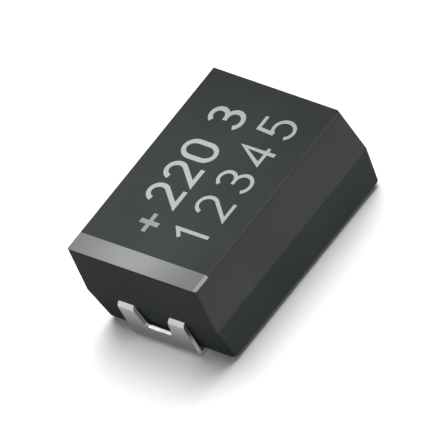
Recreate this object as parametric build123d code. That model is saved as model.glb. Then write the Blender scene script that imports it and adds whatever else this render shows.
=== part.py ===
"""Moulded tantalum chip capacitor for surface mounting, in millimetres.

A sintered tantalum pellet with its wire is coated, glued to the cathode lead and welded to the anode lead.
The black epoxy case is moulded round them in one shot, with draft on both sides of the parting line.
Each lead leaves an end wall at the parting line, drops down the wall and folds under the case as a solder foot.
The frame's origin is on the board plane under the middle of the case. +Z is up and the anode end is at -X.
"""

import math
import os

from build123d import *

# Moulded case, measured at the parting line
case_length = 7.02
case_width = 5.05
top_half_height = 1.665
bottom_half_height = 1.225
end_draft_top = 3.2
side_draft_top = 1.3
end_draft_bottom = 6.5
side_draft_bottom = 3.0
top_corner_radius = 0.12
case_corner_radius = 0.06
bottom_corner_radius = 0.15
bottom_edge_radius = 0.05
long_edge_bevel = 0.07

# Moulded pad under the case, which takes a dot of glue between the two feet
glue_pad_length = 3.6
glue_pad_width = 3.4
glue_pad_drop = 0.06
glue_pad_corner_radius = 0.3

# Stripe printed across the top at the anode end, and down over the bevels of the long edges
stripe_length = 0.62
stripe_wrap = 0.08
print_thickness = 0.02

# Lead strip, the same for both leads
strip_thickness = 0.11
strip_width = 2.55
bend_inner_radius = 0.05
wall_gap = 0.01
foot_gap = 0.01
foot_length = 1.3
foot_tip_radius = 0.15

# Window punched in the anode lead, which leaves two legs and a crossbar
window_top_width = 1.38
window_bottom_width = 1.02
window_corner_radius = 0.1
crossbar_height = 0.63
leg_embed = 0.4
anode_plate_length = 0.6

# Pellet and its wire
pellet_length = 4.7
pellet_width = 3.7
pellet_height = 1.55
pellet_edge_radius = 0.12
wire_radius = 0.15
wire_embed = 2.2
weld_bite = 0.03
washer_radius = 0.42
washer_thickness = 0.15
washer_clearance = 0.01
lead_to_washer = 0.16

# Coats on the pellet, from the inside out
oxide_coat = 0.04
graphite_coat = 0.03
silver_coat = 0.04
graphite_margin = 0.15
silver_margin = 0.35

# Glue under the pellet and the step in the cathode lead
glue_thickness = 0.04
glue_inset = 0.15
paddle_setback = 1.1
step_run = 0.22
step_clearance = 0.24

# Levels above the board, and the places that follow from the sizes above
case_bottom_z = strip_thickness + foot_gap
parting_z = case_bottom_z + bottom_half_height
case_top_z = parting_z + top_half_height
lead_mid_z = parting_z - strip_thickness / 2
foot_mid_z = strip_thickness / 2
leg_mid_x = case_length / 2 + wall_gap + strip_thickness / 2
bend_radius = bend_inner_radius + strip_thickness / 2
foot_end_x = leg_mid_x + strip_thickness / 2 - foot_length
all_coats = oxide_coat + graphite_coat + silver_coat

window_inner_x = -case_length / 2 + leg_embed
anode_tip_x = window_inner_x + anode_plate_length
washer_face_x = anode_tip_x + lead_to_washer
oxide_face_x = washer_face_x + washer_thickness
pellet_start_x = oxide_face_x + oxide_coat
pellet_end_x = pellet_start_x + pellet_length
pellet_mid_x = (pellet_start_x + pellet_end_x) / 2
wire_z = parting_z + wire_radius - weld_bite
paddle_top_z = wire_z - pellet_height / 2 - all_coats - glue_thickness
paddle_mid_z = paddle_top_z - strip_thickness / 2
step_foot_x = pellet_end_x + all_coats + step_clearance
paddle_tip_x = pellet_start_x + paddle_setback

reach = case_length + case_width


def inset(height, draft):
    """How far a wall of this height leans in at this draft angle, in degrees."""
    return height * math.tan(math.radians(draft))


def half_case(end_z, end_draft, side_draft, end_radius, skin=0):
    """One half of the case, from the parting outline to end_z, or the same form a skin's thickness inside it."""
    height = abs(end_z - parting_z)
    length = case_length - 2 * skin
    width = case_width - 2 * skin
    wide = RectangleRounded(length, width, case_corner_radius - skin)
    narrow = RectangleRounded(
        length - 2 * inset(height, end_draft),
        width - 2 * inset(height, side_draft),
        end_radius - skin,
    )
    return loft([Pos(0, 0, parting_z) * wide, Pos(0, 0, end_z) * narrow], ruled=True)


def upper_half(skin=0):
    """The case above the parting line. A gable, sloped at 45 degrees, bevels its two long top edges."""
    upper = half_case(case_top_z - skin, end_draft_top, side_draft_top, top_corner_radius, skin)
    top_half_width = case_width / 2 - inset(top_half_height, side_draft_top)
    ridge_z = case_top_z + top_half_width - long_edge_bevel - skin * math.sqrt(2)
    eaves_y = ridge_z - parting_z
    gable = make_face(Plane.YZ * Polyline((-eaves_y, parting_z), (eaves_y, parting_z), (0, ridge_z), close=True))
    return upper & extrude(gable, reach, both=True)


def case_outside():
    """The case as a full block: two drafted halves and the glue pad."""
    upper = upper_half()
    lower = half_case(case_bottom_z, end_draft_bottom, side_draft_bottom, bottom_corner_radius)
    lower = fillet(lower.faces().sort_by(Axis.Z)[0].edges(), bottom_edge_radius)
    pad_outline = RectangleRounded(glue_pad_length, glue_pad_width, glue_pad_corner_radius)
    pad = extrude(Pos(0, 0, case_bottom_z) * pad_outline, -glue_pad_drop)
    return upper + lower + pad


def folded_strip(points, radii):
    """A lead strip of full width that follows points in the XZ plane, with a bend at each corner."""
    path = Plane.XZ * FilletPolyline(*points, radius=radii)
    start = Plane(origin=path @ 0, x_dir=(0, 1, 0), z_dir=path % 0)
    return sweep(start * Rectangle(strip_width, strip_thickness), path)


def round_foot_tip(lead, side):
    """Rounds the two corners of the foot's inner tip, on the lead at this side of the case."""
    tip_x = side * foot_end_x
    corners = [
        edge
        for edge in lead.edges().filter_by(Axis.Z)
        if abs(edge.center().X - tip_x) < strip_thickness / 2 and edge.center().Z < case_bottom_z
    ]
    return fillet(corners, foot_tip_radius)


def make_window():
    """The punch for the anode lead's window: narrower at the crossbar, with rounded lower corners."""
    bottom = window_bottom_width / 2
    top = window_top_width / 2
    outline = Polyline(
        (-top, case_top_z),
        (-top, parting_z),
        (-bottom, crossbar_height),
        (bottom, crossbar_height),
        (top, parting_z),
        (top, case_top_z),
        close=True,
    )
    face = make_face(Plane.YZ * outline)
    face = fillet(face.vertices().group_by(Axis.Z)[0], window_corner_radius)
    return Pos(window_inner_x, 0, 0) * extrude(face, -reach, dir=(1, 0, 0))


def make_anode_lead():
    """Forked lead: a welding plate inside the case, two legs down the wall, a crossbar and a foot."""
    points = [
        (anode_tip_x, lead_mid_z),
        (-leg_mid_x, lead_mid_z),
        (-leg_mid_x, foot_mid_z),
        (-foot_end_x, foot_mid_z),
    ]
    lead = folded_strip(points, [bend_radius] * 2)
    lead = round_foot_tip(lead - make_window(), -1)
    return lead - make_wire()


def make_cathode_lead():
    """Stepped lead: a paddle under the pellet, a step up to the parting line, a leg and a foot."""
    points = [
        (paddle_tip_x, paddle_mid_z),
        (step_foot_x, paddle_mid_z),
        (step_foot_x + step_run, lead_mid_z),
        (leg_mid_x, lead_mid_z),
        (leg_mid_x, foot_mid_z),
        (foot_end_x, foot_mid_z),
    ]
    return round_foot_tip(folded_strip(points, [bend_radius] * 4), 1)


def make_wire():
    """Tantalum wire from the welding plate into the pellet, along its centre line."""
    start_x = window_inner_x + weld_bite
    length = pellet_start_x + wire_embed - start_x
    wire = Pos(start_x + length / 2, 0, wire_z) * Rot(0, 90, 0) * Cylinder(wire_radius, length)
    return wire


def brick(grow):
    """The pressed block of the pellet, rounded along its length and grown by grow on every side."""
    block = Box(pellet_length + 2 * grow, pellet_width + 2 * grow, pellet_height + 2 * grow)
    block = fillet(block.edges().filter_by(Axis.X), pellet_edge_radius + grow)
    return Pos(pellet_mid_x, 0, wire_z) * block


def make_pellet():
    """Sintered tantalum block, pressed round the wire."""
    return brick(0) - make_wire()


def make_oxide_coat():
    """Manganese dioxide all over the pellet, open only where the wire comes out."""
    return brick(oxide_coat) - brick(0) - make_wire()


def make_dip_coat(inner, outer, margin):
    """A dipped coat between two grown blocks, which stops short of the anode face by margin."""
    kept_start_x = pellet_start_x + margin
    kept = Pos(kept_start_x + reach / 2, 0, wire_z) * Box(reach, reach, reach)
    return (brick(outer) - brick(inner)) & kept


def make_washer():
    """Insulating washer on the wire, against the coated anode face."""
    ring = Cylinder(washer_radius, washer_thickness) - Cylinder(wire_radius + washer_clearance, reach)
    return Pos(washer_face_x + washer_thickness / 2, 0, wire_z) * Rot(0, 90, 0) * ring


def make_glue():
    """Conductive glue between the paddle and the silvered pellet."""
    start_x = paddle_tip_x + glue_inset
    end_x = pellet_end_x - glue_inset
    pad = Box(end_x - start_x, strip_width - 2 * glue_inset, glue_thickness)
    return Pos((start_x + end_x) / 2, 0, paddle_top_z + glue_thickness / 2) * pad


def make_stripe():
    """The polarity stripe: a skin of print on the top at the anode end, from its edge and across its full width."""
    top_end_x = -case_length / 2 + inset(top_half_height, end_draft_top)
    stripe_end_x = top_end_x + stripe_length
    kept = Pos(stripe_end_x - reach / 2, 0, case_top_z - stripe_wrap + reach / 2) * Box(reach, reach, reach)
    under_print = upper_half(print_thickness)
    under_print += Pos(-stripe_length / 2, 0, 0) * under_print
    return (upper_half() & kept) - under_print


def main():
    outside = case_outside()
    inner = {
        "anode_lead": make_anode_lead(),
        "cathode_lead": make_cathode_lead(),
        "tantalum_wire": make_wire(),
        "tantalum_pellet": make_pellet(),
        "manganese_dioxide_coat": make_oxide_coat(),
        "graphite_coat": make_dip_coat(oxide_coat, oxide_coat + graphite_coat, graphite_margin),
        "silver_coat": make_dip_coat(oxide_coat + graphite_coat, all_coats, silver_margin),
        "insulating_washer": make_washer(),
        "silver_glue": make_glue(),
        "polarity_stripe": make_stripe(),
    }
    case = outside
    for piece in inner.values():
        case = case - piece
    parts = {"moulded_case": case, **inner}
    os.makedirs("parts", exist_ok=True)
    for node, shape in parts.items():
        export_step(shape, f"parts/{node}.step")
        box = shape.bounding_box()
        print(node, len(shape.solids()), "solids", round(shape.volume, 3), "mm3", box.min, box.max)


main()
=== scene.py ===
"""Dresses a moulded tantalum chip capacitor and sets up its studio.

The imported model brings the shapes. This script adds the epoxy, the marking ink, the tin plate and the finish of the
pieces inside, then the printed signs, the camera, the lamps, the white dome and the floor.
Everything is in metres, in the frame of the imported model: +Z up, the striped anode end at -X.
"""

import math

import bmesh
import bpy
from bpy.props import FloatProperty, FloatVectorProperty, PointerProperty
from mathutils import Matrix, Vector


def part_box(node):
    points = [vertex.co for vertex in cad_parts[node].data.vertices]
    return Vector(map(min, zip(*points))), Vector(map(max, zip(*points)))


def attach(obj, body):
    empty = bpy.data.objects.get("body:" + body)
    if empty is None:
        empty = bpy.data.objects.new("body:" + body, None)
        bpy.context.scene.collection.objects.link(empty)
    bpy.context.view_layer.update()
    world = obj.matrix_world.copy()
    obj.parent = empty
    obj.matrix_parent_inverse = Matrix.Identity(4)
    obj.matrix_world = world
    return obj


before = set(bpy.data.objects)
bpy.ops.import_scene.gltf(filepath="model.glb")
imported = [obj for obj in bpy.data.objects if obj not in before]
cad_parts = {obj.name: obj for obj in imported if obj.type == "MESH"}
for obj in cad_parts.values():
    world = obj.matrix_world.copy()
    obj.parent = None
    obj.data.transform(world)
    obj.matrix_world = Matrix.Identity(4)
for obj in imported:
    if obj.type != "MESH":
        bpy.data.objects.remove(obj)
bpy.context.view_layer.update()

bl_info = {
    "name": "Chip capacitor looks",
    "version": (1, 0, 0),
    "blender": (4, 5, 0),
    "location": "View3D > Sidebar > Capacitor",
    "description": "Materials, printed digits and a studio for a moulded chip capacitor",
    "category": "Object",
}

MM = 0.001

case_low, case_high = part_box("moulded_case")
lead_low, lead_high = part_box("anode_lead")
parting_z = lead_high.z
top_z = case_high.z

# Printed signs: where each row stands on the top, and the x of the middle of each sign
PLUS_Y = 0.1 * MM
PLUS_SIGN = [("+", -1.82 * MM)]
FIRST_ROW_Y = 0.13 * MM
FIRST_ROW = [("2", -0.83 * MM), ("2", -0.01 * MM), ("0", 0.81 * MM), ("3", 2.08 * MM)]
SECOND_ROW_Y = -1.68 * MM
SECOND_ROW = [(sign, (-1.72 + i) * MM) for i, sign in enumerate("12345")]

# Studio
FLOOR_RADIUS = 500 * MM
FLOOR_GAP = 0.002 * MM
LAMP_DISTANCE = 50 * MM
SPOT_HEIGHT = 12 * MM
SPOT_REACH = 6 * MM
SPOT_X, SPOT_Y = -1.6 * MM, 0.8 * MM
CAMERA_DISTANCE = 50 * MM
CAMERA_CLIP = (1 * MM, 1000 * MM)
FRAME_WIDTH = 12.155 * MM
FRAME_WIDTH_PX = 444
ORIGIN_PX = (246.2, 250.1)


def linear(hex_colour):
    """Turns an sRGB hex colour such as "8C8D8E" into three linear values."""
    channels = [int(hex_colour[i:i + 2], 16) / 255 for i in (0, 2, 4)]
    return tuple(c / 12.92 if c <= 0.04045 else ((c + 0.055) / 1.055) ** 2.4 for c in channels)


def colour_property(name, description, hex_colour):
    """A colour that the user can change, with its default given in sRGB hex."""
    return FloatVectorProperty(
        name=name, description=description, subtype="COLOR", size=3, min=0, max=1, default=linear(hex_colour)
    )


def length_property(name, description, default_mm):
    """A length that the user can change, with its default given in millimetres."""
    return FloatProperty(name=name, description=description, unit="LENGTH", default=default_mm * MM)


def share_property(name, description, default):
    """A share from 0 to 1 that the user can change."""
    return FloatProperty(name=name, description=description, subtype="FACTOR", min=0, max=1, default=default)


def angle_property(name, description, default_degrees):
    """An angle that the user can change, with its default given in degrees."""
    return FloatProperty(
        name=name, description=description, subtype="ANGLE", default=math.radians(default_degrees)
    )


def strength_property(name, description, default):
    """The strength of a lamp or of the dome, which the user can change."""
    return FloatProperty(name=name, description=description, min=0, default=default)


class CaseLooks(bpy.types.PropertyGroup):
    """Colours and finish of the moulded case."""

    upper_colour: colour_property("Upper half", "Epoxy compound in the upper half of the mould", "434845")
    # Painted shade: the lower half takes this darker colour because its walls tilt down, away from the lamps.
    lower_shaded_colour: colour_property("Lower half", "Epoxy compound in the lower half of the mould", "343B37")
    # Painted highlight: sharp edges and the top's bevels are paled with this colour.
    edge_highlight_colour: colour_property("Rubbed edge", "Epoxy compound where handling has rubbed an edge", "454845")
    roughness: share_property("Roughness", "Roughness of the moulded skin", 0.7)
    grain: length_property("Grain", "Size of the spark-eroded mould grain", 0.07)


class PrintLooks(bpy.types.PropertyGroup):
    """Sizes and colours of the printed stripe and signs."""

    stripe_colour: colour_property("Stripe", "Grey ink of the polarity stripe and the plus sign", "86878A")
    # Painted sheen: the stripe's ink takes this paler colour near the middle of the case and on the bevel.
    stripe_sheen_colour: colour_property("Stripe, thick ink", "Grey ink where it lies thicker", "A4A7A9")
    digit_colour: colour_property("Digits", "Pale grey ink of the digits", "C0C5C2")
    # Painted light: the digits' ink takes this paler colour towards the cathode end, where the top spot falls off.
    digit_painted_light_colour: colour_property("Digits, thick ink", "Pale grey ink where it lies thicker", "D2D7D4")
    digit_height: length_property("Digit height", "Height of a digit", 1.3)
    digit_width: length_property("Digit width", "Width of a digit", 0.7)
    bold_stroke: length_property("Bold stroke", "Stroke width in the first row", 0.15)
    thin_stroke: length_property("Thin stroke", "Stroke width in the second row", 0.115)
    thickness: length_property("Thickness", "How far the ink stands proud", 0.006)


class LeadLooks(bpy.types.PropertyGroup):
    """Colours and finish of the two leads."""

    tin_colour: colour_property("Tin", "Tin plating on the flat faces", "CACBCA")
    cut_colour: colour_property("Cut edge", "Bare strip metal where the punch has cut it", "626264")
    # Painted highlight: a pale band of this colour on the outer cut edges just above the foot.
    cut_highlight_colour: colour_property("Wetted edge", "Cut edge above the foot, where tin has run over it", "D8D8D8")
    # Painted shade: the foot's upward face under the case takes this dark colour.
    foot_shade_colour: colour_property("Pressed face", "Upper face of a foot, pressed dull against the case", "2C2C2E")
    roughness: share_property("Roughness", "Roughness of the plating", 0.25)


class StudioLooks(bpy.types.PropertyGroup):
    """Camera and light."""

    azimuth: angle_property("Azimuth", "Where the camera stands round the part", -28.4)
    elevation: angle_property("Elevation", "How high the camera stands", 41.0)
    roll: angle_property("Roll", "How far the camera is turned about its own axis", -31.5)
    key: strength_property("Key", "Strength of the lamp behind and above", 0.75)
    fill: strength_property("Fill", "Strength of the lamp at the long side", 1.75)
    fill_colour: colour_property("Fill colour", "Colour of the lamp at the long side, a little warm", "FFF5F7")
    top: strength_property("Top", "Strength of the near spot over the top", 1.25)
    ground: strength_property("Ground", "Strength of the lamp on the floor alone", 4.0)
    glint: strength_property("Glint", "Strength of the lamp on the leads alone", 0.3)
    sky: strength_property("Sky", "Strength of the white dome", 0.22)
    bounce: share_property("Bounce", "How much light the floor throws back", 0.26)


def add(tree, kind, settings=None, values=None, links=None):
    """Adds one shader node, with its settings, its input values and the sockets that feed it."""
    node = tree.nodes.new(kind)
    for name, value in (settings or {}).items():
        setattr(node, name, value)
    for name, value in (values or {}).items():
        node.inputs[name].default_value = value
    for name, socket in (links or {}).items():
        tree.links.new(socket, node.inputs[name])
    return node


def new_material(name):
    """A new material, its node tree, which is empty but for one node, and that node's own coordinates."""
    material = bpy.data.materials.new(name)
    material.use_nodes = True
    tree = material.node_tree
    tree.nodes.clear()
    return material, tree, add(tree, "ShaderNodeTexCoord").outputs["Object"]


def close(tree, shader):
    """Connects the finished shader to the material's output."""
    add(tree, "ShaderNodeOutputMaterial", links={"Surface": shader.outputs["BSDF"]})


def per_size(size):
    """The texture scale at which one feature of the pattern is this long."""
    return 1 / size


def rgba(colour):
    """Adds full opacity to a linear colour."""
    return (*colour, 1)


def dress(node_name, material):
    """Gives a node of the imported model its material."""
    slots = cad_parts[node_name].data.materials
    slots.clear()
    slots.append(material)


def epoxy_colour(tree, place, looks):
    """Compound of both mould halves with faint flow clouds, a few millimetres across, and the lower half darker as
    painted shade.
    """
    height = add(tree, "ShaderNodeSeparateXYZ", links={"Vector": place})
    # Painted shade: below the parting line the darker colour is used
    halves = add(tree, "ShaderNodeMapRange", {"interpolation_type": "SMOOTHSTEP"},
                 {"From Min": parting_z - 0.03 * MM, "From Max": parting_z + 0.01 * MM},
                 {"Value": height.outputs["Z"]})
    skin = add(tree, "ShaderNodeMix", {"data_type": "RGBA"},
               {"A": rgba(looks.lower_shaded_colour), "B": rgba(looks.upper_colour)},
               {"Factor": halves.outputs["Result"]})
    cloud = add(tree, "ShaderNodeTexNoise", None, {"Scale": per_size(2.5 * MM), "Detail": 2.0},
                {"Vector": place})
    shade = add(tree, "ShaderNodeMapRange", None,
                {"From Min": 0.3, "From Max": 0.7, "To Min": 0.9, "To Max": 1.1},
                {"Value": cloud.outputs["Fac"]})
    return add(tree, "ShaderNodeVectorMath", {"operation": "SCALE"}, None,
               {"Vector": skin.outputs["Result"], "Scale": shade.outputs["Result"]})


def highlit_edges(tree, face, tilt):
    """A painted highlight: how far the skin is paled, most of the way along sharp edges and fully on the 45 degree
    bevels.
    """
    edge_radius, edge_share = 0.05 * MM, 0.8
    soft = add(tree, "ShaderNodeBevel", {"samples": 6}, {"Radius": edge_radius})
    bend = add(tree, "ShaderNodeVectorMath", {"operation": "DOT_PRODUCT"}, None,
               {0: soft.outputs["Normal"], 1: face.outputs["Normal"]})
    edge = add(tree, "ShaderNodeMapRange", None, {"From Min": 0.999, "From Max": 0.95, "To Max": edge_share},
               {"Value": bend.outputs["Value"]})
    bevel = add(tree, "ShaderNodeMath", {"operation": "COMPARE"}, {1: math.sqrt(0.5), 2: 0.1},
                {0: tilt.outputs["Z"]})
    return add(tree, "ShaderNodeMath", {"operation": "MAXIMUM"}, None,
               {0: edge.outputs["Result"], 1: bevel.outputs["Value"]})


def painted_shade_line(tree, place, tilt):
    """A thin dark line of painted shade on the walls just under the top's edges."""
    line_low, line_high, line_strength = top_z - 0.14 * MM, top_z - 0.08 * MM, 0.3
    height = add(tree, "ShaderNodeSeparateXYZ", links={"Vector": place})
    wall = add(tree, "ShaderNodeMath", {"operation": "COMPARE"}, {1: 0.0, 2: 0.3}, {0: tilt.outputs["Z"]})
    below = add(tree, "ShaderNodeMapRange", None,
                {"From Min": line_low, "From Max": line_high, "To Max": line_strength},
                {"Value": height.outputs["Z"]})
    return add(tree, "ShaderNodeMath", {"operation": "MULTIPLY"}, None,
               {0: wall.outputs["Value"], 1: below.outputs["Result"]})


def moulded_epoxy(looks):
    """Black epoxy compound as it leaves a spark-eroded mould.

    The eye gets a dull dark grey with hardly a highlight and a faint grain. Its paler edges are a painted highlight;
    its darker lower half and the dark line under the top's edges are painted shade.
    Real grain is about 0.03 mm across. It is drawn about twice as coarse, so that it shows.
    """
    material, tree, place = new_material("moulded_epoxy_compound")
    face = add(tree, "ShaderNodeNewGeometry")
    tilt = add(tree, "ShaderNodeSeparateXYZ", links={"Vector": face.outputs["True Normal"]})
    # Painted highlight on the edges and bevels
    colour = add(tree, "ShaderNodeMix", {"data_type": "RGBA"}, {"B": rgba(looks.edge_highlight_colour)},
                 {"Factor": highlit_edges(tree, face, tilt).outputs["Value"],
                  "A": epoxy_colour(tree, place, looks).outputs["Vector"]})
    # Painted shade: a dark line on the walls under the top's edges
    colour = add(tree, "ShaderNodeMix", {"data_type": "RGBA"}, {"B": (0, 0, 0, 1)},
                 {"Factor": painted_shade_line(tree, place, tilt).outputs["Value"], "A": colour.outputs["Result"]})
    grain = add(tree, "ShaderNodeTexNoise", None, {"Scale": per_size(looks.grain), "Detail": 4.0},
                {"Vector": place})
    roughness = add(tree, "ShaderNodeMapRange", None,
                    {"To Min": looks.roughness - 0.08, "To Max": looks.roughness + 0.08},
                    {"Value": grain.outputs["Fac"]})
    bump = add(tree, "ShaderNodeBump", None, {"Strength": 0.6, "Distance": 0.004 * MM},
               {"Height": grain.outputs["Fac"]})
    close(tree, add(tree, "ShaderNodeBsdfPrincipled", None, {"Specular IOR Level": 0.1},
                    {"Base Color": colour.outputs["Result"], "Roughness": roughness.outputs["Result"],
                     "Normal": bump.outputs["Normal"]}))
    return material


def printed_ink(name, base_ink, lighter, roughness, axis, lightest_at, fades_over):
    """Marking ink, pad-printed and baked.

    The eye gets a flat semi-matt grey with painted light: paler towards one place along an axis, and paler on
    bevels and upright faces as a painted highlight. The mould's grain shows through, smoothed by the ink and as
    coarse as there.
    """
    material, tree, place = new_material(name)
    along = add(tree, "ShaderNodeSeparateXYZ", links={"Vector": place})
    # Painted light: the ink grows paler towards one place along the axis
    away = add(tree, "ShaderNodeMath", {"operation": "SUBTRACT"}, {1: lightest_at}, {0: along.outputs[axis]})
    away = add(tree, "ShaderNodeMath", {"operation": "ABSOLUTE"}, None, {0: away.outputs["Value"]})
    shade = add(tree, "ShaderNodeMapRange", {"interpolation_type": "SMOOTHSTEP"},
                {"From Min": fades_over, "From Max": 0.0}, {"Value": away.outputs["Value"]})
    face = add(tree, "ShaderNodeNewGeometry")
    tilt = add(tree, "ShaderNodeSeparateXYZ", links={"Vector": face.outputs["Normal"]})
    # Painted highlight: paler on bevels and upright faces
    bevel = add(tree, "ShaderNodeMapRange", None, {"From Min": 0.9, "From Max": 0.8},
                {"Value": tilt.outputs["Z"]})
    painted_light_share = add(tree, "ShaderNodeMath", {"operation": "MAXIMUM"}, None,
                 {0: shade.outputs["Result"], 1: bevel.outputs["Result"]})
    colour = add(tree, "ShaderNodeMix", {"data_type": "RGBA"}, {"A": rgba(base_ink), "B": rgba(lighter)},
                 {"Factor": painted_light_share.outputs["Value"]})
    grain = add(tree, "ShaderNodeTexNoise", None, {"Scale": per_size(0.08 * MM), "Detail": 3.0},
                {"Vector": place})
    bump = add(tree, "ShaderNodeBump", None, {"Strength": 0.4, "Distance": 0.003 * MM},
               {"Height": grain.outputs["Fac"]})
    close(tree, add(tree, "ShaderNodeBsdfPrincipled", None, {"Roughness": roughness, "Specular IOR Level": 0.3},
                    {"Base Color": colour.outputs["Result"], "Normal": bump.outputs["Normal"]}))
    return material


def stripe_ink(looks):
    """The grey ink of the stripe and the plus sign, made once for both, with a painted sheen palest near the middle
    of the case.
    """
    made = bpy.data.materials.get("grey_marking_ink")
    return made or printed_ink("grey_marking_ink", looks.stripe_colour, looks.stripe_sheen_colour, 0.45,
                               "Y", lightest_at=0.15 * MM, fades_over=2.4 * MM)


def digit_ink(looks):
    """The pale ink of the digits, paler towards the cathode end as painted light that evens out the top spot's
    fall-off there.
    """
    return printed_ink("pale_marking_ink", looks.digit_colour, looks.digit_painted_light_colour, 0.55,
                       "X", lightest_at=3.2 * MM, fades_over=5.5 * MM)


def cut_edge_colour(tree, place, looks):
    """Bare metal of the punched edges, with a painted highlight, a pale band, on the outer ones just above the foot.
    """
    highlight_at, highlight_full, highlight_ends = 0.33 * lead_high.z, 0.08 * lead_high.z, 0.4 * lead_high.z
    outer_from, outer_to = 0.8 * lead_high.y, 0.9 * lead_high.y
    where = add(tree, "ShaderNodeSeparateXYZ", links={"Vector": place})
    # Painted highlight: a pale band at this height on the outer cut edges
    above = add(tree, "ShaderNodeMath", {"operation": "SUBTRACT"}, {1: highlight_at}, {0: where.outputs["Z"]})
    above = add(tree, "ShaderNodeMath", {"operation": "ABSOLUTE"}, None, {0: above.outputs["Value"]})
    highlight_share = add(tree, "ShaderNodeMapRange", {"interpolation_type": "SMOOTHSTEP"},
                 {"From Min": highlight_ends, "From Max": highlight_full}, {"Value": above.outputs["Value"]})
    sides = add(tree, "ShaderNodeMath", {"operation": "ABSOLUTE"}, None, {0: where.outputs["Y"]})
    outer = add(tree, "ShaderNodeMapRange", None, {"From Min": outer_from, "From Max": outer_to},
                {"Value": sides.outputs["Value"]})
    highlight_share = add(tree, "ShaderNodeMath", {"operation": "MULTIPLY"}, None,
                 {0: highlight_share.outputs["Result"], 1: outer.outputs["Result"]})
    return add(tree, "ShaderNodeMix", {"data_type": "RGBA"},
               {"A": rgba(looks.cut_colour), "B": rgba(looks.cut_highlight_colour)},
               {"Factor": highlight_share.outputs["Value"]})


def shaded_foot_top(tree, place, facing):
    """Painted shade on faces that look up, low over the board, where a foot lies under the case."""
    foot_ends, foot_full = 0.3 * MM, 0.2 * MM
    height = add(tree, "ShaderNodeSeparateXYZ", links={"Vector": place})
    faces_up = add(tree, "ShaderNodeMapRange", None, {"From Min": 0.3, "From Max": 0.6},
                   {"Value": facing.outputs["Z"]})
    on_foot = add(tree, "ShaderNodeMapRange", None, {"From Min": foot_ends, "From Max": foot_full},
                  {"Value": height.outputs["Z"]})
    return add(tree, "ShaderNodeMath", {"operation": "MULTIPLY"}, None,
               {0: faces_up.outputs["Result"], 1: on_foot.outputs["Result"]})


def tinned_strip(looks):
    """Rolled nickel-iron strip, punched, tin-plated and folded.

    The eye gets bright satin faces with fine rolling lines and tin grain, and duller, darker punched edges.
    Real rolling lines are about 0.01 mm apart and tin grains 0.005 mm across. Both are drawn coarser, so that
    they show: the lines as 0.04 mm and the grains as patches of 0.12 mm.
    """
    material, tree, place = new_material("tin_plated_nickel_iron_strip")
    face = add(tree, "ShaderNodeNewGeometry")
    facing = add(tree, "ShaderNodeSeparateXYZ", links={"Vector": face.outputs["Normal"]})
    sideways = add(tree, "ShaderNodeMath", {"operation": "ABSOLUTE"}, None, {0: facing.outputs["Y"]})
    cut = add(tree, "ShaderNodeMapRange", None, {"From Min": 0.6, "From Max": 0.9},
              {"Value": sideways.outputs["Value"]})
    tin_grain = add(tree, "ShaderNodeTexNoise", None, {"Scale": per_size(0.12 * MM), "Detail": 3.0},
                    {"Vector": place})
    tin_shade = add(tree, "ShaderNodeMapRange", None, {"To Min": 0.88, "To Max": 1.06},
                    {"Value": tin_grain.outputs["Fac"]})
    tin = add(tree, "ShaderNodeVectorMath", {"operation": "SCALE"}, {0: looks.tin_colour},
              {"Scale": tin_shade.outputs["Result"]})
    # Bare punched edges, with a painted highlight band on the outer ones
    plated = add(tree, "ShaderNodeMix", {"data_type": "RGBA"}, None,
                 {"Factor": cut.outputs["Result"], "A": tin.outputs["Vector"],
                  "B": cut_edge_colour(tree, place, looks).outputs["Result"]})
    # Painted shade on the foot's upward face under the case
    colour = add(tree, "ShaderNodeMix", {"data_type": "RGBA"}, {"B": rgba(looks.foot_shade_colour)},
                 {"Factor": shaded_foot_top(tree, place, facing).outputs["Value"], "A": plated.outputs["Result"]})
    roughness = add(tree, "ShaderNodeMapRange", None, {"To Min": looks.roughness, "To Max": 0.5},
                    {"Value": cut.outputs["Result"]})
    across = add(tree, "ShaderNodeMapping", None, {"Scale": (0.03, 1, 0.03)}, {"Vector": place})
    rolling = add(tree, "ShaderNodeTexNoise", None, {"Scale": per_size(0.04 * MM), "Detail": 2.0},
                  {"Vector": across.outputs["Vector"]})
    relief = add(tree, "ShaderNodeMath", {"operation": "ADD"}, None,
                 {0: rolling.outputs["Fac"], 1: tin_grain.outputs["Fac"]})
    bump = add(tree, "ShaderNodeBump", None, {"Strength": 0.5, "Distance": 0.002 * MM},
               {"Height": relief.outputs["Value"]})
    close(tree, add(tree, "ShaderNodeBsdfPrincipled", None, {"Metallic": 1.0},
                    {"Base Color": colour.outputs["Result"], "Roughness": roughness.outputs["Result"],
                     "Normal": bump.outputs["Normal"]}))
    return material


def grainy(name, hex_dark, hex_light, grain, roughness, metallic=0.0, relief=0.01 * MM):
    """A surface whose grain shows in its colour and its relief."""
    material, tree, place = new_material(name)
    noise = add(tree, "ShaderNodeTexNoise", None, {"Scale": per_size(grain), "Detail": 5.0}, {"Vector": place})
    colour = add(tree, "ShaderNodeMix", {"data_type": "RGBA"},
                 {"A": rgba(linear(hex_dark)), "B": rgba(linear(hex_light))}, {"Factor": noise.outputs["Fac"]})
    bump = add(tree, "ShaderNodeBump", None, {"Strength": 0.7, "Distance": relief},
               {"Height": noise.outputs["Fac"]})
    close(tree, add(tree, "ShaderNodeBsdfPrincipled", None, {"Roughness": roughness, "Metallic": metallic},
                    {"Base Color": colour.outputs["Result"], "Normal": bump.outputs["Normal"]}))
    return material


def arc(centre_x, centre_y, radius_x, radius_y, start, end, steps=20):
    """Points on an arc in a sign's cell, from start to end in degrees."""
    angles = [math.radians(start + (end - start) * i / steps) for i in range(steps + 1)]
    return [(centre_x + radius_x * math.cos(a), centre_y + radius_y * math.sin(a)) for a in angles]


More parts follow.
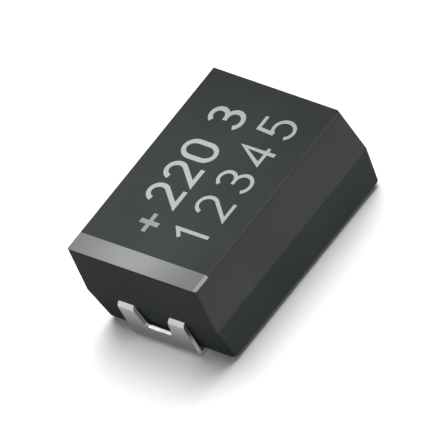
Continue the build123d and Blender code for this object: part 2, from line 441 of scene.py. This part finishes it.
def strokes(sign):
    """Centre lines of a digit or a plus sign in a cell from (0, 0) to (1, 1), each a list of points."""
    if sign == "+":
        return [[(-0.1, 0.33), (1.1, 0.33)], [(0.5, 0.03), (0.5, 0.63)]]
    if sign == "0":
        return [arc(0.5, 0.68, 0.5, 0.32, 0, 180) + arc(0.5, 0.32, 0.5, 0.32, 180, 360) + [(1, 0.68)]]
    if sign == "1":
        return [[(0.12, 0.8), (0.55, 1), (0.55, 0)]]
    if sign == "2":
        return [arc(0.5, 0.72, 0.47, 0.28, 165, -35) + [(0, 0), (1, 0)]]
    if sign == "3":
        return [arc(0.46, 0.76, 0.43, 0.24, 150, -88), arc(0.46, 0.265, 0.5, 0.265, 88, -155),
                [(0.28, 0.523), (0.5, 0.523)]]
    if sign == "4":
        return [[(0.72, 0.28), (0.72, 1), (0, 0.28), (0.72, 0.28)], [(0.72, 0), (0.72, 0.4)],
                [(0.6, 0.28), (1, 0.28)]]
    if sign == "5":
        return [[(0.9, 1), (0.16, 1), (0.1, 0.5)], arc(0.47, 0.31, 0.5, 0.31, 140, -150)]
    raise ValueError(f"no strokes for {sign!r}")


def ribbon(mesh, centre_line, width, low_z, high_z):
    """Adds a flat band of this width along a centre line to the mesh, closed, from low_z to high_z."""
    bluntest_mitre = 0.35
    points = [Vector(p) for p in centre_line]
    is_loop = (points[0] - points[-1]).length < width / 10
    sides = []
    for i, point in enumerate(points):
        before = points[i - 1] if i else (points[-2] if is_loop else None)
        after = points[i + 1] if i + 1 < len(points) else (points[1] if is_loop else None)
        into = (point - before).normalized() if before is not None else (after - point).normalized()
        out = (after - point).normalized() if after is not None else into
        middle = (into + out).normalized()
        normal = Vector((-middle.y, middle.x))
        reach = width / 2 / max(bluntest_mitre, normal.dot(Vector((-into.y, into.x))))
        sides.append((point + normal * reach, point - normal * reach))
    rings = [
        [mesh.verts.new((p.x, p.y, z)) for p, z in ((a, low_z), (b, low_z), (b, high_z), (a, high_z))]
        for a, b in sides
    ]
    for first, second in zip(rings, rings[1:]):
        for j in range(4):
            k = (j + 1) % 4
            mesh.faces.new((first[j], first[k], second[k], second[j]))
    if not is_loop:
        mesh.faces.new(rings[0][::-1])
        mesh.faces.new(rings[-1])


def place_mesh(name, mesh):
    """Turns a bmesh into an object of the scene."""
    data = bpy.data.meshes.new(name)
    mesh.to_mesh(data)
    mesh.free()
    placed = bpy.data.objects.new(name, data)
    bpy.context.scene.collection.objects.link(placed)
    return placed


def stroke_object(name, centre_line, width, low_z, high_z):
    """One stroke as an object of its own."""
    mesh = bmesh.new()
    ribbon(mesh, centre_line, width, low_z, high_z)
    bmesh.ops.recalc_face_normals(mesh, faces=mesh.faces)
    return place_mesh(name, mesh)


def make_row(name, signs, baseline_y, stroke, looks, ink):
    """One printed row: signs is a list of (sign, x of its middle). Crossing strokes are merged into one shape."""
    width = looks.digit_width - stroke
    height = looks.digit_height - stroke
    lines = [
        [(middle_x + (x - 0.5) * width, baseline_y + stroke / 2 + y * height) for x, y in line]
        for sign, middle_x in signs
        for line in strokes(sign)
    ]
    low_z, high_z = top_z - looks.thickness, top_z + looks.thickness
    row, *others = [stroke_object(name, line, stroke, low_z, high_z) for line in lines]
    for other in others:
        join = row.modifiers.new("join", "BOOLEAN")
        join.operation = "UNION"
        join.solver = "EXACT"
        join.object = other
    row.data = bpy.data.meshes.new_from_object(row.evaluated_get(bpy.context.evaluated_depsgraph_get()))
    row.modifiers.clear()
    for other in others:
        bpy.data.objects.remove(other)
    row.data.materials.append(ink)
    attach(row, "root")


class CAPACITOR_OT_case(bpy.types.Operator):
    """Dress the moulded case in epoxy compound"""

    bl_idname = "capacitor.case"
    bl_label = "Moulded case"

    def execute(self, context):
        dress("moulded_case", moulded_epoxy(context.scene.capacitor_case))
        return {"FINISHED"}


class CAPACITOR_OT_stripe(bpy.types.Operator):
    """Dress the polarity stripe in grey marking ink"""

    bl_idname = "capacitor.stripe"
    bl_label = "Polarity stripe"

    def execute(self, context):
        dress("polarity_stripe", stripe_ink(context.scene.capacitor_print))
        return {"FINISHED"}


class CAPACITOR_OT_digits(bpy.types.Operator):
    """Print a plus sign and two rows of plain digits on the top of the case"""

    bl_idname = "capacitor.digits"
    bl_label = "Printed digits"

    def execute(self, context):
        looks = context.scene.capacitor_print
        pale_ink = digit_ink(looks)
        make_row("plus_sign", PLUS_SIGN, PLUS_Y, looks.bold_stroke, looks, stripe_ink(looks))
        make_row("digits_first_row", FIRST_ROW, FIRST_ROW_Y, looks.bold_stroke, looks, pale_ink)
        make_row("digits_second_row", SECOND_ROW, SECOND_ROW_Y, looks.thin_stroke, looks, pale_ink)
        return {"FINISHED"}


class CAPACITOR_OT_leads(bpy.types.Operator):
    """Dress both leads in tin plate"""

    bl_idname = "capacitor.leads"
    bl_label = "Leads"

    def execute(self, context):
        material = tinned_strip(context.scene.capacitor_leads)
        dress("anode_lead", material)
        dress("cathode_lead", material)
        return {"FINISHED"}


class CAPACITOR_OT_inner(bpy.types.Operator):
    """Dress the pellet, its coats, the wire, the washer and the glue inside the case"""

    bl_idname = "capacitor.inner"
    bl_label = "Inner pieces"

    def execute(self, context):
        # Drawn metal: smooth and grey, with hardly any relief
        dress("tantalum_wire", grainy("drawn_tantalum_wire", "77787E", "8E8F96", 0.05 * MM, 0.35, 1.0, 0.001 * MM))
        # Sintered powder: a dull, open, sandy grey. Real grains are some micrometres across and drawn coarser
        dress("tantalum_pellet",
              grainy("sintered_tantalum_powder", "3A3A3F", "66666C", 0.06 * MM, 0.8, 0.6, 0.02 * MM))
        # Oxide fired from a nitrate dip: black, crusty and matt
        dress("manganese_dioxide_coat", grainy("fired_manganese_dioxide", "141416", "26262A", 0.09 * MM, 0.85))
        # Graphite dried from a dip: dark grey with the sheen of a pencil line
        dress("graphite_coat", grainy("dried_graphite_dip", "26272A", "3C3D41", 0.05 * MM, 0.55))
        # Silver paint: pale flakes in a binder, satin
        dress("silver_coat", grainy("dried_silver_paint", "A9A7A0", "C9C7C0", 0.08 * MM, 0.5, 0.7))
        # Punched fluoropolymer: white and waxy, nearly without grain
        dress("insulating_washer",
              grainy("white_fluoropolymer_sheet", "DEDED8", "EEEEEA", 0.1 * MM, 0.5, 0.0, 0.002 * MM))
        # Glue filled with silver flakes: like the paint, but darker and wetter
        dress("silver_glue", grainy("silver_filled_epoxy_glue", "9C9A92", "B8B6AE", 0.07 * MM, 0.45, 0.5))
        return {"FINISHED"}


class CAPACITOR_OT_studio(bpy.types.Operator):
    """Set the camera, the lamps, the white dome and the pale floor"""

    bl_idname = "capacitor.studio"
    bl_label = "Studio"

    def execute(self, context):
        looks = context.scene.capacitor_studio
        leads = [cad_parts["anode_lead"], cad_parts["cathode_lead"]]
        floor = make_floor(looks)
        make_dome(looks)
        key = make_sun("key_lamp", (0.35, 0.3, 1.0), looks.key, softness_degrees=22)
        fill = make_sun("fill_lamp", (0.3, -0.92, 0.2), looks.fill, softness_degrees=40, casts_shadow=False)
        fill.data.color = looks.fill_colour
        for lamp in (key, fill, make_top_spot(looks)):
            link_lamp(lamp, [floor], "EXCLUDE")
        ground = make_sun("ground_lamp", (0.52, 0.2, 1.0), looks.ground, softness_degrees=60)
        link_lamp(ground, [floor], "INCLUDE")
        glint = make_sun("glint_lamp", (0.36, 0.66, 0.66), looks.glint, softness_degrees=30, casts_shadow=False)
        link_lamp(glint, leads, "INCLUDE")
        make_camera(looks)
        return {"FINISHED"}


def painted_floor_reflection(tree, place):
    """A painted reflection: the floor's glow as a glossy surface sees it, dim beside the part as painted shade, then
    rising to full white further off.
    """
    dim_from, dim_to, dimmest, dim_rise = 0.22 * MM, 0.95 * MM, 0.2, 0.68
    pale_from, pale_to, pale_rise = 0.9 * MM, 3.5 * MM, 0.32
    beside = add(tree, "ShaderNodeVectorMath", {"operation": "ABSOLUTE"}, None, {0: place})
    beside = add(tree, "ShaderNodeVectorMath", {"operation": "SUBTRACT"},
                 {1: (-lead_low.x, case_high.y, 0)}, {0: beside.outputs["Vector"]})
    beside = add(tree, "ShaderNodeVectorMath", {"operation": "MAXIMUM"}, {1: (0, 0, 0)},
                 {0: beside.outputs["Vector"]})
    gap = add(tree, "ShaderNodeVectorMath", {"operation": "LENGTH"}, None, {0: beside.outputs["Vector"]})
    close_by = add(tree, "ShaderNodeMapRange", {"interpolation_type": "SMOOTHSTEP"},
                   {"From Min": dim_from, "From Max": dim_to, "To Min": dimmest, "To Max": dim_rise},
                   {"Value": gap.outputs["Value"]})
    far_off = add(tree, "ShaderNodeMapRange", {"interpolation_type": "SMOOTHSTEP"},
                  {"From Min": pale_from, "From Max": pale_to, "To Max": pale_rise},
                  {"Value": gap.outputs["Value"]})
    return add(tree, "ShaderNodeMath", {"operation": "ADD"}, None,
               {0: close_by.outputs["Result"], 1: far_off.outputs["Result"]})


def white_paper(looks):
    """Matt white paper for the floor, seen from above only, so that a view from below shows the part.

    The camera sees it white with the part's shadow. It throws less light back on the part than white paper would,
    and a glossy surface sees a painted reflection, the floor's own glow, in place of the lamps' light on it.
    """
    material, tree, place = new_material("matt_white_paper")
    path = add(tree, "ShaderNodeLightPath")
    mirrored = painted_floor_reflection(tree, place)
    seen = add(tree, "ShaderNodeMath", {"operation": "MAXIMUM"}, None,
               {0: path.outputs["Is Camera Ray"], 1: path.outputs["Is Transmission Ray"]})
    shade = add(tree, "ShaderNodeMath", {"operation": "MAXIMUM"}, {1: looks.bounce}, {0: seen.outputs["Value"]})
    shade = add(tree, "ShaderNodeMath", {"operation": "SUBTRACT"}, None,
                {0: shade.outputs["Value"], 1: path.outputs["Is Glossy Ray"]})
    # Painted reflection: glossy rays see the floor's glow, dim beside the part
    glow = add(tree, "ShaderNodeMix", {"data_type": "FLOAT"}, {"A": 0.02},
               {"Factor": path.outputs["Is Glossy Ray"], "B": mirrored.outputs["Value"]})
    side = add(tree, "ShaderNodeNewGeometry")
    from_above = add(tree, "ShaderNodeMath", {"operation": "SUBTRACT"}, {0: 1.0},
                     {1: side.outputs["Backfacing"]})
    close(tree, add(tree, "ShaderNodeBsdfPrincipled", None,
                    {"Roughness": 1.0, "Specular IOR Level": 0.0, "Emission Color": (1, 1, 1, 1)},
                    {"Base Color": shade.outputs["Value"], "Emission Strength": glow.outputs["Result"],
                     "Alpha": from_above.outputs["Value"]}))
    return material


def make_floor(looks):
    """A pale round floor just under the feet."""
    mesh = bmesh.new()
    bmesh.ops.create_circle(mesh, cap_ends=True, segments=64, radius=FLOOR_RADIUS)
    floor = place_mesh("studio_floor", mesh)
    floor.location.z = -FLOOR_GAP
    floor.data.materials.append(white_paper(looks))
    return floor


def make_dome(looks):
    """A white world: full white where it is seen or mirrored, and a soft light on the part."""
    world = bpy.data.worlds.new("white_dome")
    world.use_nodes = True
    tree = world.node_tree
    tree.nodes.clear()
    path = add(tree, "ShaderNodeLightPath")
    seen = add(tree, "ShaderNodeMath", {"operation": "MAXIMUM"}, None,
               {0: path.outputs["Is Camera Ray"], 1: path.outputs["Is Glossy Ray"]})
    strength = add(tree, "ShaderNodeMapRange", None, {"To Min": looks.sky, "To Max": 1.0},
                   {"Value": seen.outputs["Value"]})
    background = add(tree, "ShaderNodeBackground", None, {"Color": (1, 1, 1, 1)},
                     {"Strength": strength.outputs["Result"]})
    add(tree, "ShaderNodeOutputWorld", links={"Surface": background.outputs["Background"]})
    bpy.context.scene.world = world


def make_sun(name, towards, strength, softness_degrees, casts_shadow=True):
    """A distant soft lamp that shines from the given direction."""
    light = bpy.data.lights.new(name, "SUN")
    light.energy = strength
    light.angle = math.radians(softness_degrees)
    light.use_shadow = casts_shadow
    # With multiple importance sampling, a lamp without a shadow leaves glossy surfaces dark
    light.cycles.use_multiple_importance_sampling = casts_shadow
    lamp = bpy.data.objects.new(name, light)
    lamp.rotation_mode = "QUATERNION"
    lamp.rotation_quaternion = Vector(towards).to_track_quat("Z", "Y")
    lamp.location = Vector(towards) * LAMP_DISTANCE
    bpy.context.scene.collection.objects.link(lamp)
    return lamp


def make_top_spot(looks):
    """A near spot with a soft rim, so that the top darkens towards its far right corner."""
    light = bpy.data.lights.new("top_spot", "SPOT")
    light.energy = looks.top * 4 * math.pi * SPOT_HEIGHT ** 2
    light.spot_size = 2 * math.atan(SPOT_REACH / SPOT_HEIGHT)
    light.spot_blend = 1.0
    light.shadow_soft_size = 2 * MM
    light.use_shadow = False
    lamp = bpy.data.objects.new("top_spot", light)
    lamp.location = (SPOT_X, SPOT_Y, top_z + SPOT_HEIGHT)
    bpy.context.scene.collection.objects.link(lamp)
    return lamp


def link_lamp(lamp, objects, state):
    """Lets the lamp light only these objects (INCLUDE) or everything but them (EXCLUDE)."""
    receivers = bpy.data.collections.new(f"{lamp.name}_receivers")
    for i, receiver in enumerate(objects):
        receivers.objects.link(receiver)
        receivers.collection_objects[i].light_linking.link_state = state
    lamp.light_linking.receiver_collection = receivers


def make_camera(looks):
    """A camera with parallel projection, which puts the part's origin where the photo has it."""
    sin, cos = math.sin, math.cos
    level = Vector((cos(looks.azimuth), sin(looks.azimuth), 0))
    back = Vector((sin(looks.azimuth) * cos(looks.elevation), -cos(looks.azimuth) * cos(looks.elevation),
                   sin(looks.elevation)))
    upright = back.cross(level)
    right = level * cos(looks.roll) + upright * sin(looks.roll)
    up = upright * cos(looks.roll) - level * sin(looks.roll)
    pixel = FRAME_WIDTH / FRAME_WIDTH_PX
    middle = up * (ORIGIN_PX[1] - FRAME_WIDTH_PX / 2) * pixel - right * (ORIGIN_PX[0] - FRAME_WIDTH_PX / 2) * pixel
    data = bpy.data.cameras.new("camera")
    data.type = "ORTHO"
    data.ortho_scale = FRAME_WIDTH
    data.clip_start, data.clip_end = CAMERA_CLIP
    camera = bpy.data.objects.new("camera", data)
    camera.matrix_world = Matrix((
        (right.x, up.x, back.x, 0), (right.y, up.y, back.y, 0), (right.z, up.z, back.z, 0), (0, 0, 0, 1)
    ))
    camera.location = middle + back * CAMERA_DISTANCE
    bpy.context.scene.collection.objects.link(camera)
    bpy.context.scene.camera = camera


class CAPACITOR_PT_panel(bpy.types.Panel):
    """Lists the steps that dress the capacitor, and their settings"""

    bl_label = "Chip capacitor"
    bl_space_type = "VIEW_3D"
    bl_region_type = "UI"
    bl_category = "Capacitor"

    def draw(self, context):
        for operator in OPERATORS:
            self.layout.operator(operator.bl_idname)
        for group in SETTINGS:
            settings = getattr(context.scene, group)
            for name in settings.__annotations__:
                self.layout.prop(settings, name)


OPERATORS = (
    CAPACITOR_OT_case,
    CAPACITOR_OT_stripe,
    CAPACITOR_OT_digits,
    CAPACITOR_OT_leads,
    CAPACITOR_OT_inner,
    CAPACITOR_OT_studio,
)
SETTINGS = {
    "capacitor_case": CaseLooks,
    "capacitor_print": PrintLooks,
    "capacitor_leads": LeadLooks,
    "capacitor_studio": StudioLooks,
}


def register():
    """Registers the settings, the operators and the panel."""
    for settings in SETTINGS.values():
        bpy.utils.register_class(settings)
    for cls in (*OPERATORS, CAPACITOR_PT_panel):
        bpy.utils.register_class(cls)
    for name, settings in SETTINGS.items():
        setattr(bpy.types.Scene, name, PointerProperty(type=settings))


def unregister():
    """Takes back what register has done."""
    for name in SETTINGS:
        delattr(bpy.types.Scene, name)
    for cls in (CAPACITOR_PT_panel, *reversed(OPERATORS)):
        bpy.utils.unregister_class(cls)
    for settings in SETTINGS.values():
        bpy.utils.unregister_class(settings)


def main():
    register()
    bpy.context.scene.view_settings.view_transform = "Standard"
    bpy.ops.capacitor.case()
    bpy.ops.capacitor.stripe()
    bpy.ops.capacitor.digits()
    bpy.ops.capacitor.leads()
    bpy.ops.capacitor.inner()
    bpy.ops.capacitor.studio()


if __name__ == "__main__":
    main()
